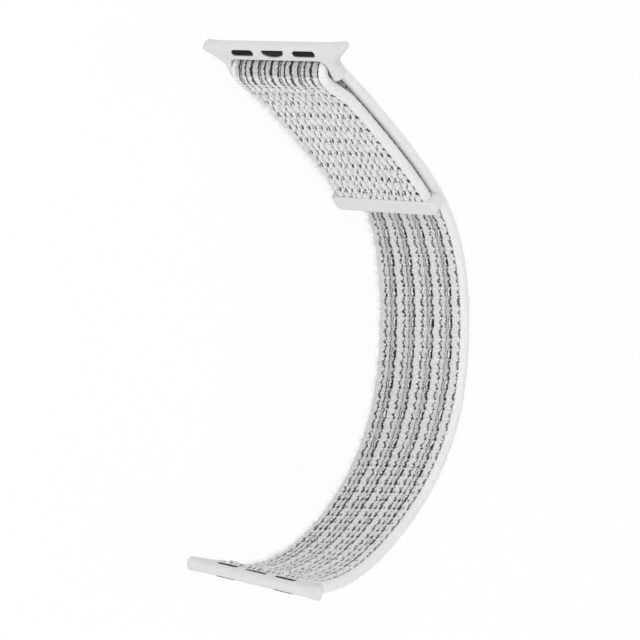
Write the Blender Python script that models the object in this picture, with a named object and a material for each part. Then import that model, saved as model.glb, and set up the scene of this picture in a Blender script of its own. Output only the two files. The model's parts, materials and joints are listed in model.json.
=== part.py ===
"""A woven watch strap with a hook-and-loop flap and two hinged end lugs, lying on its edge.

Metres, +Z up. The strip runs from the upper lug at -X to the lower lug at +X, and its hollow side
faces -Y. Run lengths are measured along the middle of the strip from the upper bar to the lower bar.
"""

import math

import bmesh
import bpy
import numpy as np
from mathutils import Matrix, Vector

# Woven strip
STRAP_WIDTH = 0.022
STRAP_THICKNESS = 0.0022
STRAP_CORNER = 0.0007
RUN_LENGTH = 0.1533
RUN_STEP = 0.003
# Headings in degrees and twists in degrees, at even shares of the run
RUN_HEADINGS = (66.4, 61.1, 48.7, 19.1, -0.6, -34.1, -61.7, -101.2)
RUN_TWISTS = (-3.1, 3.1, 0.4, 0.5, 6.4, 1.6)
PATH_SAMPLES = 601

# Flex lines, where the strip bends between its three stretches
UPPER_FLEX_AT = 0.060
LOWER_FLEX_AT = 0.107
FLEX_GAP = 0.0003
CLOSING_ANGLE = math.radians(20)
OPENING_ANGLE = math.radians(10)

# Flap, with its own twist at its free end
FLAP_LENGTH = 0.045
FLAP_END_TWIST = -4.5
FLAP_EASE = 0.010
PEEL_ANGLE = math.radians(60)

# Woven sleeve round the lower bar
SLEEVE_LAYER = 0.0007
SLEEVE_EASE = 0.006
SLEEVE_STEPS = 8
SLEEVE_AIR = 0.0004

# Hook pad under the flap
PAD_LENGTH = 0.013
PAD_MARGIN = 0.002
PAD_THICKNESS = 0.0004
PAD_BOND = 0.00005
PAD_AIR = 0.00015
PAD_TO_TAB = 0.0008

# End tab
TAB_LIP = 0.0028
TAB_NOSE = 0.0008
TAB_SIDE = 0.0012
TAB_FRONT = 0.0006
TAB_BACK = 0.0003
TAB_FIT = 0.00012
TAB_CORNER = 0.0014
TAB_ROUNDING = 0.0005

# Lug frames
BAR_RADIUS = 0.0006
BAR_AIR = 0.0003
BAR_SEAT_DEPTH = 0.0012
BAR_FIT = 0.0002
RAIL_LENGTH = 0.0338
RAIL_DEPTH = 0.0033
RAIL_THICKNESS = 0.0028
RAIL_ROUNDING = 0.0012
RAIL_CORNER = 0.0008
RAIL_FLARE = math.radians(48)
COVE_START = 0.0016
COVE_BEND_SHARE = 1.5
TIP_EASE = 0.003
FOLD_AIR = 0.0003
ARM_AIR = 0.0004
ARM_WIDTH = 0.0018
ARM_END = 0.0013
ARM_CORNER = 0.0007
WINDOW_CORNER = 0.0015
WINDOW_ROUNDING_SHARE = 0.18
ARM_ROUNDING_SHARE = 0.55
CORNER_ROUNDING_SHARE = 0.64
TIP_ROUNDING_SHARE = 1.9
COVE_STEPS = 8
TIP_STEPS = 5
UPPER_LUG_TURN = math.radians(-22.5)
LOWER_LUG_TURN = math.radians(-4.7)

# Slots through the rail, at their centres' distance from the tip
SLOT_FROM_TIP = 0.00165
SLOT_LENGTH = 0.00525
SLOT_WIDTH = 0.0013
SLOT_PITCH = 0.0073
SLOT_BELLY = 0.0002
SLOT_BOW_SHARE = 0.7
OVERRUN = 0.001

# Latch stack in the middle slot, from the outer face inwards
LATCH_FLOOR = 0.0005
LATCH_MOUTH_STEP = 0.0003
LATCH_FIT = 0.00015
LATCH_FLANGE = 0.0005
LATCH_RECESS = 0.0001
LATCH_EDGE = 0.0001
PLATE_THICKNESS = 0.0004
PLATE_RECESS = 0.0001
LEAF_THICKNESS = 0.00012
LEAF_WIDTH = 0.0008
LEAF_AIR = 0.00008
LEAF_STEPS = 12

# Elastomer bumpers in the outer slots
BUMPER_FIT = 0.00012
BUMPER_RECESS = 0.00006
BUMPER_EDGE = 0.0001

ARC_STEPS = 6
BAR_SIDES = 24
SMOOTH_BELOW = math.radians(35)

HALF_WIDTH = STRAP_WIDTH / 2
HALF_THICKNESS = STRAP_THICKNESS / 2
SEAT_RADIUS = BAR_RADIUS + BAR_AIR + HALF_THICKNESS
SLEEVE_RADIUS = BAR_RADIUS + BAR_AIR + SLEEVE_LAYER
UPPER_WINDOW = SEAT_RADIUS + HALF_THICKNESS + FOLD_AIR
LOWER_WINDOW = SLEEVE_RADIUS + SLEEVE_AIR
WINDOW_HALF = HALF_WIDTH + ARM_AIR
ARM_OUTER = WINDOW_HALF + ARM_WIDTH
HALF_RAIL = RAIL_LENGTH / 2
HALF_RAIL_THICKNESS = RAIL_THICKNESS / 2
SLOT_DEPTH = RAIL_DEPTH - SLOT_FROM_TIP

MATERIALS = {
    "white_weave": ((0.80, 0.80, 0.78), 0.9, 0.0),
    "white_plastic": ((0.80, 0.80, 0.78), 0.45, 0.0),
    "hook_tape": ((0.62, 0.62, 0.60), 0.8, 0.0),
    "bar_steel": ((0.60, 0.60, 0.60), 0.3, 1.0),
    "spring_steel": ((0.55, 0.55, 0.56), 0.35, 1.0),
    "latch_metal": ((0.20, 0.20, 0.17), 0.5, 0.8),
    "black_elastomer": ((0.02, 0.02, 0.02), 0.7, 0.0),
}


# The strip's path

def natural_spline(values, shares):
    """A natural cubic spline through values at even stations from 0 to 1."""
    values = np.asarray(values, float)
    count = len(values)
    system = np.eye(count)
    right = np.zeros(count)
    for i in range(1, count - 1):
        system[i, i - 1 : i + 2] = (1, 4, 1)
        right[i] = 6 * (values[i - 1] - 2 * values[i] + values[i + 1])
    bends = np.linalg.solve(system, right)
    place = np.clip(shares, 0, 1) * (count - 1)
    i = np.clip(place.astype(int), 0, count - 2)
    b = place - i
    a = 1 - b
    curve = ((a**3 - a) * bends[i] + (b**3 - b) * bends[i + 1]) / 6
    return a * values[i] + b * values[i + 1] + curve


def run_path():
    """Even samples of the run: shares, points in plan and headings."""
    shares = np.linspace(0, 1, PATH_SAMPLES)
    headings = np.radians(natural_spline(RUN_HEADINGS, shares))
    step = RUN_LENGTH / (PATH_SAMPLES - 1)
    dx = np.cos(headings)
    dy = np.sin(headings)
    x = np.concatenate([[0], np.cumsum((dx[1:] + dx[:-1]) / 2)]) * step
    y = np.concatenate([[0], np.cumsum((dy[1:] + dy[:-1]) / 2)]) * step
    return shares, x, y, headings


SHARES, PATH_X, PATH_Y, PATH_HEADINGS = run_path()


class Ring:
    """A place along a strip: its centre, travel direction, lateral axis and normal."""

    def __init__(self, centre, tangent, lateral, normal):
        self.centre = Vector(centre)
        self.tangent = Vector(tangent)
        self.lateral = Vector(lateral)
        self.normal = Vector(normal)

    def at(self, along, normal, lateral):
        """The point at these distances from the ring's centre."""
        return self.centre + self.tangent * along + self.normal * normal + self.lateral * lateral


def run_ring(s, twist=None):
    """The run's frame at a length s. Its normal points to the hollow side."""
    share = s / RUN_LENGTH
    heading = float(np.interp(share, SHARES, PATH_HEADINGS))
    centre = (float(np.interp(share, SHARES, PATH_X)), float(np.interp(share, SHARES, PATH_Y)), 0)
    if twist is None:
        twist = run_twist(s)
    tangent = Vector((math.cos(heading), math.sin(heading), 0))
    inward = Vector((math.sin(heading), -math.cos(heading), 0))
    up = Vector((0, 0, 1))
    lateral = up * math.cos(twist) + inward * math.sin(twist)
    normal = inward * math.cos(twist) - up * math.sin(twist)
    return Ring(centre, tangent, lateral, normal)


def run_twist(s):
    return math.radians(float(natural_spline(RUN_TWISTS, np.array([s / RUN_LENGTH]))[0]))


def flap_twist(s):
    start = run_twist(0)
    return start + (math.radians(FLAP_END_TWIST) - start) * s / FLAP_LENGTH


def flap_rise(s):
    """How far the flap's middle stands from the run's middle."""
    share = min(s / FLAP_EASE, 1)
    lean = HALF_WIDTH * abs(math.sin(run_twist(s) - flap_twist(s)))
    at_bar = 2 * SEAT_RADIUS - STRAP_THICKNESS
    at_end = PAD_BOND + PAD_THICKNESS + PAD_AIR
    return STRAP_THICKNESS + lean + at_bar + (at_end - at_bar) * share * share * (3 - 2 * share)


def flap_ring(s):
    """The flap's frame over the run's length s. Its normal points away from the run."""
    under = run_ring(s, 0)
    ring = run_ring(s, flap_twist(s))
    ring.centre = under.centre + under.normal * flap_rise(s)
    return ring


def even(start, end, step):
    """Even places from start to end, about step apart."""
    count = max(2, round(abs(end - start) / step) + 1)
    return [start + (end - start) * i / (count - 1) for i in range(count)]


def upper_bar_ring():
    ring = run_ring(0)
    ring.centre = ring.centre + ring.normal * SEAT_RADIUS
    return ring


def lower_bar_ring():
    return run_ring(RUN_LENGTH)


def turn_round(bar, start, through):
    """Rings of a half turn about a bar, from the side start, past the side through."""
    rings = []
    for i in range(2 * ARC_STEPS + 1):
        angle = math.pi * i / (2 * ARC_STEPS)
        away = start * math.cos(angle) + through * math.sin(angle)
        travel = through * math.cos(angle) - start * math.sin(angle)
        rings.append(Ring(bar.centre + away * SEAT_RADIUS, travel, bar.lateral, away))
    return rings


def turned_over(ring):
    """The same place with its normal on the other side."""
    return Ring(ring.centre, ring.tangent, ring.lateral, -ring.normal)


# Mesh building

def strip_section(half_width, half_thickness, corner):
    """A rounded rectangle as (lateral, normal) points, from +lateral, with points on its middle line."""
    points = []
    corners = ((1, 1, 0), (-1, 1, 1), (-1, -1, 2), (1, -1, 3))
    for sx, sy, quarter in corners:
        if quarter in (0, 2):
            points.append((sx * half_width, 0.0))
        for i in range(4):
            angle = math.pi / 2 * (quarter + i / 3)
            x = sx * (half_width - corner) + corner * math.cos(angle)
            y = sy * (half_thickness - corner) + corner * math.sin(angle)
            points.append((x, y))
    return points


def sweep(bm, rings, section, start_relief=(0, 0), end_relief=(0, 0), halves=None):
    """A closed strip through rings. A relief is how far an end's upper and lower corners are drawn back.

    halves gives each ring its own half thickness.
    """
    half = max(y for _, y in section)
    loops = []
    for n, ring in enumerate(rings):
        loop = []
        for x, y in section:
            back = 0
            if n == 0:
                back = start_relief[0 if y > 0 else 1] * abs(y) / half
            elif n == len(rings) - 1:
                back = -end_relief[0 if y > 0 else 1] * abs(y) / half
            rise = y * halves[n] / half if halves else y
            loop.append(bm.verts.new(ring.at(back, rise, x)))
        loops.append(loop)
    count = len(section)
    for a, b in zip(loops, loops[1:]):
        for i in range(count):
            bm.faces.new((a[i], a[(i + 1) % count], b[(i + 1) % count], b[i]))
    for loop in (loops[0], loops[-1]):
        bm.faces.new(loop[: count // 2 + 1])
        bm.faces.new(loop[count // 2 :] + loop[:1])


def rounded_plate(outline, half, rounding, shares, steps=ARC_STEPS):
    """A plate over an (x, z) outline, its rims rounded. shares scales the rounding at each point."""
    bm = bmesh.new()
    count = len(outline)
    points = np.array(outline)
    before = points - np.roll(points, 1, axis=0)
    after = np.roll(points, -1, axis=0) - points
    before /= np.linalg.norm(before, axis=1)[:, None]
    after /= np.linalg.norm(after, axis=1)[:, None]
    along = before + after
    along /= np.linalg.norm(along, axis=1)[:, None]
    inward = np.stack([-along[:, 1], along[:, 0]], 1)
    shares = np.asarray(shares)[:, None]
    loops = []
    levels = [math.pi / 2 * (i / steps) for i in range(steps + 1)]
    layers = [(-1, a) for a in reversed(levels)] + [(1, a) for a in levels]
    for side, angle in layers:
        y = side * (half - rounding + rounding * math.sin(angle))
        placed = points + inward * shares * rounding * (1 - math.cos(angle))
        loops.append([bm.verts.new((p[0], y, p[1])) for p in placed])
    for a, b in zip(loops, loops[1:]):
        for i in range(count):
            bm.faces.new((a[i], a[(i + 1) % count], b[(i + 1) % count], b[i]))
    bm.faces.new(loops[0])
    bm.faces.new(loops[-1])
    return bm


def prism(outline, low, high):
    """A straight prism over an (x, z) outline between two heights in y."""
    bm = bmesh.new()
    add_prism(bm, outline, low, high)
    return bm


def add_prism(bm, outline, low, high):
    loops = [[bm.verts.new((x, y, z)) for x, z in outline] for y in (low, high)]
    count = len(outline)
    for i in range(count):
        bm.faces.new((loops[0][i], loops[0][(i + 1) % count], loops[1][(i + 1) % count], loops[1][i]))
    bm.faces.new(loops[0])
    bm.faces.new(loops[1])


def bevelled_prism(outline, low, high, edge):
    """A prism over an (x, z) outline with both rims chamfered."""
    half = (high - low) / 2
    bm = rounded_plate(outline, half, edge, np.ones(len(outline)), 1)
    bmesh.ops.translate(bm, verts=bm.verts, vec=(0, low + half, 0))
    return bm


def corner_arc(centre, radius, start, end, steps=4):
    """Points of an arc in plan, with both of its ends. Angles are in quarter turns."""
    points = []
    for i in range(steps + 1):
        angle = math.pi / 2 * (start + (end - start) * i / steps)
        points.append((centre[0] + radius * math.cos(angle), centre[1] + radius * math.sin(angle)))
    return points


def make_object(name, bm, material, parent=None, origin=None):
    """One named object from a bmesh, smooth where its faces meet gently."""
    bmesh.ops.recalc_face_normals(bm, faces=bm.faces)
    if origin is not None:
        bmesh.ops.translate(bm, verts=bm.verts, vec=-origin)
    mesh = bpy.data.meshes.new(name)
    bm.to_mesh(mesh)
    bm.free()
    mesh.shade_smooth()
    mesh.set_sharp_from_angle(angle=SMOOTH_BELOW)
    mesh.materials.append(material_of(material))
    made = bpy.data.objects.new(name, mesh)
    bpy.context.scene.collection.objects.link(made)
    if origin is not None:
        made.location = origin
    made.parent = parent
    return made


def material_of(name):
    made = bpy.data.materials.get(name)
    if made is None:
        colour, roughness, metallic = MATERIALS[name]
        made = bpy.data.materials.new(name)
        made.use_nodes = True
        shader = made.node_tree.nodes["Principled BSDF"]
        shader.inputs["Base Color"].default_value = (*colour, 1)
        shader.inputs["Roughness"].default_value = roughness
        shader.inputs["Metallic"].default_value = metallic
    return made


def make_empty(name, matrix, parent):
    empty = bpy.data.objects.new(name, None)
    bpy.context.scene.collection.objects.link(empty)
    empty.parent = parent
    empty.matrix_local = matrix
    return empty


def make_cutter(name, bm, parent, target):
    """A hidden cutter and the Boolean that uses it."""
    cutter = make_object(name, bm, "white_plastic", parent)
    cutter.hide_render = True
    cutter.display_type = "WIRE"
    cut = target.modifiers.new(name, "BOOLEAN")
    cut.operation = "DIFFERENCE"
    cut.solver = "EXACT"
    cut.object = cutter


# Woven strip

def strap_section():
    return strip_section(HALF_WIDTH, HALF_THICKNESS, STRAP_CORNER)


def relief(angle):
    """How far a corner is drawn back so that the strip can bend by an angle about its middle."""
    return HALF_THICKNESS * math.tan(angle / 2)


def strap_upper_run(root):
    """The run from the fold over the upper bar down to the upper flex line."""
    bar = upper_bar_ring()
    fold = turn_round(bar, bar.normal, -bar.tangent)
    rings = [turned_over(ring) for ring in fold]
    for s in even(0, UPPER_FLEX_AT - FLEX_GAP / 2, RUN_STEP)[1:]:
        rings.append(run_ring(s))
    bm = bmesh.new()
    bends = (relief(CLOSING_ANGLE), relief(OPENING_ANGLE))
    sweep(bm, rings, strap_section(), start_relief=(0, relief(PEEL_ANGLE)), end_relief=bends)
    pivot = run_ring(UPPER_FLEX_AT).centre
    return make_object("strap_upper_run", bm, "white_weave", root, pivot)


def strap_middle_run(root):
    """The run between the two flex lines."""
    rings = [run_ring(s) for s in even(UPPER_FLEX_AT + FLEX_GAP / 2, LOWER_FLEX_AT - FLEX_GAP / 2, RUN_STEP)]
    bm = bmesh.new()
    bends = (relief(CLOSING_ANGLE), relief(OPENING_ANGLE))
    sweep(bm, rings, strap_section(), start_relief=bends, end_relief=bends)
    return make_object("strap_middle_run", bm, "white_weave", root)


def strap_lower_run(root):
    """The run from the lower flex line to the woven sleeve that the lower bar goes through."""
    bends = (relief(CLOSING_ANGLE), relief(OPENING_ANGLE))
    rings = [run_ring(s) for s in even(LOWER_FLEX_AT + FLEX_GAP / 2, RUN_LENGTH - SLEEVE_EASE, RUN_STEP)]
    halves = [HALF_THICKNESS] * len(rings)
    for s in even(RUN_LENGTH - SLEEVE_EASE, RUN_LENGTH, RUN_STEP / 4)[1:]:
        share = 1 - (RUN_LENGTH - s) / SLEEVE_EASE
        rings.append(run_ring(s))
        halves.append(HALF_THICKNESS + (SLEEVE_RADIUS - HALF_THICKNESS) * share * share * (3 - 2 * share))
    bar = lower_bar_ring()
    for i in range(1, SLEEVE_STEPS):
        angle = math.pi / 2 * i / SLEEVE_STEPS
        rings.append(Ring(bar.at(SLEEVE_RADIUS * math.sin(angle), 0, 0), bar.tangent, bar.lateral, bar.normal))
        halves.append(SLEEVE_RADIUS * math.cos(angle))
    bm = bmesh.new()
    sweep(bm, rings, strap_section(), start_relief=bends, halves=halves)
    pivot = run_ring(LOWER_FLEX_AT).centre
    run = make_object("strap_lower_run", bm, "white_weave", root, pivot)
    seat = make_empty("lower_bar_seat", lug_matrix(bar, 1, 0), root)
    bore = bmesh.new()
    reach = HALF_WIDTH + OVERRUN
    cylinder(bore, BAR_RADIUS + BAR_AIR, -reach, reach)
    make_cutter("sleeve_bore_cutter", bore, seat, run)
    return run


def strap_flap(root):
    """The flap that folds back over the upper run, from the bar to the tab."""
    rings = [flap_ring(s) for s in even(FLEX_GAP, FLAP_LENGTH, RUN_STEP)]
    bm = bmesh.new()
    sweep(bm, rings, strap_section(), start_relief=(relief(PEEL_ANGLE), 0))
    return make_object("strap_flap", bm, "white_weave", root, flap_ring(FLEX_GAP / 2).centre)


def hook_pad(root):
    """Hook tape under the flap, facing the run's loops."""
    end = FLAP_LENGTH - TAB_LIP - PAD_TO_TAB
    rings = []
    for s in even(end - PAD_LENGTH, end, RUN_STEP):
        ring = flap_ring(s)
        ring.centre = ring.at(0, -(HALF_THICKNESS + PAD_BOND + PAD_THICKNESS / 2), 0)
        rings.append(ring)
    bm = bmesh.new()
    half = PAD_THICKNESS / 2
    sweep(bm, rings, strip_section(HALF_WIDTH - PAD_MARGIN, half, half / 2))
    return make_object("hook_pad", bm, "hook_tape", root, flap_ring(FLEX_GAP / 2).centre)


def matrix_of(ring, x_axis, y_axis, z_axis):
    matrix = Matrix((x_axis, y_axis, z_axis)).transposed().to_4x4()
    matrix.translation = ring.centre
    return matrix


def end_tab(root):
    """The moulded cap on the flap's free end, with a pocket for the strip."""
    ring = flap_ring(FLAP_LENGTH)
    frame = matrix_of(ring, ring.tangent, ring.normal, ring.tangent.cross(ring.normal))
    holder = make_empty("tab_holder", frame, root)
    half_width = HALF_WIDTH + TAB_SIDE
    outline = [(-TAB_LIP, half_width), (-TAB_LIP, -half_width)]
    outline += corner_arc((TAB_NOSE - TAB_CORNER, TAB_CORNER - half_width), TAB_CORNER, -1, 0)
    outline += corner_arc((TAB_NOSE - TAB_CORNER, half_width - TAB_CORNER), TAB_CORNER, 0, 1)
    front = HALF_THICKNESS + TAB_FIT + TAB_FRONT
    back = HALF_THICKNESS + TAB_FIT + TAB_BACK
    bm = rounded_plate(outline, (front + back) / 2, TAB_ROUNDING, np.ones(len(outline)), 3)
    bmesh.ops.translate(bm, verts=bm.verts, vec=(0, (front - back) / 2, 0))
    tab = make_object("end_tab", bm, "white_plastic", holder)
    grown = strip_section(HALF_WIDTH + TAB_FIT, HALF_THICKNESS + TAB_FIT, STRAP_CORNER + TAB_FIT)
    pocket = bmesh.new()
    deep = FLAP_LENGTH + TAB_FIT
    sweep(pocket, [flap_ring(s) for s in even(FLAP_LENGTH - TAB_LIP - OVERRUN, deep, RUN_STEP / 4)], grown)
    make_cutter("tab_pocket_cutter", pocket, root, tab)
    return tab


# Lugs, in their own frame: x to the tip, y to the hollow side, z along the bar.
# A window is the distance from the bar to the rail.

def cove(window):
    """The flank's curve from the arm out to the rail's end, on the +z side."""
    start = window - COVE_START
    end = window + RAIL_DEPTH - RAIL_CORNER * (1 + math.sin(RAIL_FLARE))
    reach = HALF_RAIL - RAIL_CORNER * (1 - math.cos(RAIL_FLARE))
    points = []
    for i in range(COVE_STEPS + 1):
        t = i / COVE_STEPS
        points.append((start + (end - start) * t, ARM_OUTER + (reach - ARM_OUTER) * t**COVE_BEND_SHARE))
    return points


def frame_outline(window):
    """The frame's outline, counterclockwise in (x, z), with its rounding shares."""
    outer = cove(window)
    outer.insert(0, (-ARM_END + ARM_CORNER, ARM_OUTER))
    flare = 1 + RAIL_FLARE / (math.pi / 2)
    tip_end = HALF_RAIL - RAIL_CORNER
    tip = corner_arc((window + RAIL_DEPTH - RAIL_CORNER, tip_end), RAIL_CORNER, flare, 0, 7)[1:]
    corner_shares = [CORNER_ROUNDING_SHARE] * len(tip)
    for i in range(1, TIP_STEPS + 1):
        t = i / TIP_STEPS
        tip.append((window + RAIL_DEPTH, tip_end - TIP_EASE * t))
        corner_shares.append(CORNER_ROUNDING_SHARE + (TIP_ROUNDING_SHARE - CORNER_ROUNDING_SHARE) * t * t * (3 - 2 * t))
    end = corner_arc((-ARM_END + ARM_CORNER, WINDOW_HALF + ARM_CORNER), ARM_CORNER, -1, -2)
    end += corner_arc((-ARM_END + ARM_CORNER, ARM_OUTER - ARM_CORNER), ARM_CORNER, 2, 1)[:-1]
    corner = (window - WINDOW_CORNER, WINDOW_HALF - WINDOW_CORNER)
    inner = corner_arc(corner, WINDOW_CORNER, 0, 1)
    half = inner + end + outer + tip
    shares = [WINDOW_ROUNDING_SHARE] * (len(inner) + len(end) - 4) + [ARM_ROUNDING_SHARE] * (4 + len(outer))
    shares += corner_shares
    mirrored = [(x, -z) for x, z in reversed(half)]
    outline = mirrored + half
    # counterclockwise in (x, z) puts the inward side on the left
    return outline[::-1], (shares[::-1] + shares)[::-1]


def shifted(outline, x, z):
    return [(px + x, pz + z) for px, pz in outline]


def lug_frame(name, holder, window):
    """Rail, arms and window of one lug, with its three slots and two bar seats."""
    outline, shares = frame_outline(window)
    slot_at = window + SLOT_DEPTH
    bm = rounded_plate(outline, HALF_RAIL_THICKNESS, RAIL_ROUNDING, shares)
    frame = make_object(f"{name}_frame", bm, "white_plastic", holder)
    through = HALF_RAIL_THICKNESS + OVERRUN
    cuts = {
        "left_slot": prism(shifted(stadium(), slot_at, SLOT_PITCH), -through, through),
        "right_slot": prism(shifted(stadium(), slot_at, -SLOT_PITCH), -through, through),
        "latch_mouth": prism(shifted(latch_outline(-LATCH_MOUTH_STEP), slot_at, 0), -through, 0),
        "latch_pocket": prism(shifted(latch_outline(0), slot_at, 0), LATCH_FLOOR - HALF_RAIL_THICKNESS, through),
    }
    for side, label in ((1, "upper_seat"), (-1, "lower_seat")):
        bm = bmesh.new()
        start = side * (WINDOW_HALF - OVERRUN)
        cylinder(bm, BAR_RADIUS + BAR_FIT, start, side * (WINDOW_HALF + BAR_SEAT_DEPTH + BAR_FIT))
        cuts[label] = bm
    for label, bm in cuts.items():
        make_cutter(f"{name}_{label}_cutter", bm, holder, frame)
    return frame


def cylinder(bm, radius, z_start, z_end):
    """A cylinder along the bar's axis."""
    angles = [2 * math.pi * k / BAR_SIDES for k in range(BAR_SIDES)]
    loops = [[bm.verts.new((radius * math.cos(a), radius * math.sin(a), z)) for a in angles] for z in (z_start, z_end)]
    for k in range(BAR_SIDES):
        after = (k + 1) % BAR_SIDES
        bm.faces.new((loops[0][k], loops[0][after], loops[1][after], loops[1][k]))
    bm.faces.new(loops[0])
    bm.faces.new(loops[1])


def stadium(grow=0.0):
    """An outer slot's outline about its centre, counterclockwise in (x, z)."""
    radius = SLOT_WIDTH / 2 + grow
    straight = SLOT_LENGTH / 2 - SLOT_WIDTH / 2
    return corner_arc((0, straight), radius, 0, 2, 8) + corner_arc((0, -straight), radius, 2, 4, 8)


def latch_outline(grow):
    """The middle slot's outline: straight towards the tip, bowed towards the strap."""
    half = SLOT_LENGTH / 2 + grow
    flat = SLOT_WIDTH / 2 + grow
    depth = SLOT_WIDTH + SLOT_BELLY + 2 * grow
    points = [(flat, -half), (flat, half)]
    count = 12
    for i in range(1, count):
        angle = math.pi * i / count
        points.append((flat - depth * math.sin(angle) ** SLOT_BOW_SHARE, half * math.cos(angle)))
    return points


def lug_bar(name, holder):
    """The steel bar that the strip turns round, seated in both arms."""
    bm = bmesh.new()
    reach = WINDOW_HALF + BAR_SEAT_DEPTH
    cylinder(bm, BAR_RADIUS, -reach, reach)
    return make_object(f"{name}_bar", bm, "bar_steel", holder)


def latch_heights():
    """Heights in the middle slot: flange bottom and top, nose end, plate bottom and top."""
    outer = -HALF_RAIL_THICKNESS
    flange = outer + LATCH_FLOOR + LATCH_FIT
    plate_top = HALF_RAIL_THICKNESS - PLATE_RECESS
    return flange, flange + LATCH_FLANGE, outer + LATCH_RECESS, plate_top - PLATE_THICKNESS, plate_top


def lug_latch(name, holder, window):
    """The sprung button: a flange behind the slot's floor and a nose through its mouth."""
    low, high, nose, _, _ = latch_heights()
    seat = make_empty(f"{name}_latch_seat", Matrix.Translation((window + SLOT_DEPTH, 0, 0)), holder)
    bm = bevelled_prism(latch_outline(-LATCH_FIT), low, high, LATCH_EDGE)
    latch = make_object(f"{name}_latch", bm, "latch_metal", seat)
    tip = prism(latch_outline(-LATCH_MOUTH_STEP - LATCH_FIT), nose, (low + high) / 2)
    add_union(latch, make_object(f"{name}_latch_nose_guide", tip, "latch_metal", seat))
    return latch


def add_union(target, other):
    """Joins a hidden guide to its target."""
    other.hide_render = True
    other.display_type = "WIRE"
    join = target.modifiers.new(other.name, "BOOLEAN")
    join.operation = "UNION"
    join.solver = "EXACT"
    join.object = other


def lug_latch_spring(name, holder, window):
    """A bowed leaf between the latch and the retaining plate."""
    _, low, _, high, _ = latch_heights()
    bottom = low + LEAF_AIR
    rise = high - LEAF_AIR - LEAF_THICKNESS - bottom
    half = SLOT_LENGTH / 2 - SLOT_WIDTH / 2
    rings = []
    for i in range(LEAF_STEPS + 1):
        t = 2 * i / LEAF_STEPS - 1
        y = bottom + LEAF_THICKNESS / 2 + rise * (1 - t * t)
        slope = -2 * rise * t / half
        along = Vector((0, slope, 1)).normalized()
        rings.append(Ring((window + SLOT_DEPTH, y, half * t), along, (1, 0, 0), (0, along.z, -along.y)))
    bm = bmesh.new()
    sweep(bm, rings, strip_section(LEAF_WIDTH / 2, LEAF_THICKNESS / 2, LEAF_THICKNESS / 4))
    return make_object(f"{name}_latch_spring", bm, "spring_steel", holder)


def lug_retaining_plate(name, holder, window):
    """The plate that closes the latch's pocket on the hollow side."""
    _, _, _, low, high = latch_heights()
    outline = shifted(latch_outline(-LATCH_FIT), window + SLOT_DEPTH, 0)
    return make_object(f"{name}_retaining_plate", bevelled_prism(outline, low, high, LATCH_EDGE), "latch_metal", holder)


def lug_bumper(name, side, label, holder, window):
    """An elastomer insert in an outer slot, standing a little out of the rail's tapered faces."""
    low = BUMPER_RECESS - HALF_RAIL_THICKNESS
    high = HALF_RAIL_THICKNESS - BUMPER_RECESS
    outline = shifted(stadium(-BUMPER_FIT), window + SLOT_DEPTH, side * SLOT_PITCH)
    bm = bevelled_prism(outline, low, high, BUMPER_EDGE)
    return make_object(f"{name}_bumper_{label}", bm, "black_elastomer", holder)


def lug_matrix(bar, outward, turn):
    """A lug's frame at its bar: outward is 1 along the strip's travel and -1 against it."""
    tip = bar.tangent * (outward * math.cos(turn)) + bar.normal * math.sin(turn)
    inner = bar.normal * math.cos(turn) - bar.tangent * (outward * math.sin(turn))
    return matrix_of(bar, tip, inner, tip.cross(inner))


def make_lug(name, matrix, root, window):
    holder = make_empty(f"{name}_holder", matrix, root)
    lug_frame(name, holder, window)
    lug_bar(name, holder)
    lug_latch(name, holder, window)
    lug_latch_spring(name, holder, window)
    lug_retaining_plate(name, holder, window)
    lug_bumper(name, 1, "a", holder, window)
    lug_bumper(name, -1, "b", holder, window)


# Resting place

def placed_points(names):
    """All mesh points of these objects, under their parents."""
    bpy.context.view_layer.update()
    points = []
    for name in names:
        made = bpy.data.objects[name]
        points += [made.matrix_world @ v.co for v in made.data.vertices]
    return np.array(points)


def lay_on_edge(root):
    """Turns and lifts the whole strap until both lugs and the strip's edge touch the ground."""
    groups = (["upper_lug_frame"], ["lower_lug_frame"], ["strap_middle_run"])
    for _ in range(8):
        feet = []
        for names in groups:
            points = placed_points(names)
            feet.append(Vector(points[points[:, 2].argmin()]))
        up = (feet[1] - feet[0]).cross(feet[2] - feet[0]).normalized()
        turn = up.rotation_difference(Vector((0, 0, 1))).to_matrix().to_4x4()
        root.matrix_world = turn @ root.matrix_world
    names = [made.name for made in bpy.data.objects if made.type == "MESH" and not made.hide_render]
    points = placed_points(names)
    low, high = points.min(axis=0), points.max(axis=0)
    root.location -= Vector(((low[0] + high[0]) / 2, (low[1] + high[1]) / 2, low[2]))
    bpy.context.view_layer.update()


def main():
    for old in list(bpy.data.objects):
        bpy.data.objects.remove(old)
    root = make_empty("strap_root", Matrix(), None)
    strap_upper_run(root)
    strap_middle_run(root)
    strap_lower_run(root)
    strap_flap(root)
    hook_pad(root)
    end_tab(root)
    make_lug("upper_lug", lug_matrix(upper_bar_ring(), -1, UPPER_LUG_TURN), root, UPPER_WINDOW)
    make_lug("lower_lug", lug_matrix(lower_bar_ring(), 1, LOWER_LUG_TURN), root, LOWER_WINDOW)
    lay_on_edge(root)


main()
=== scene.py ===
"""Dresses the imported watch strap: the woven strip and its hook tape, the moulded lugs and the end tab.

Lengths here are millimetres until they reach the scene, which is in metres.
"""

import json
import math

import bpy
import numpy as np
from mathutils import Matrix, Vector


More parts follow.
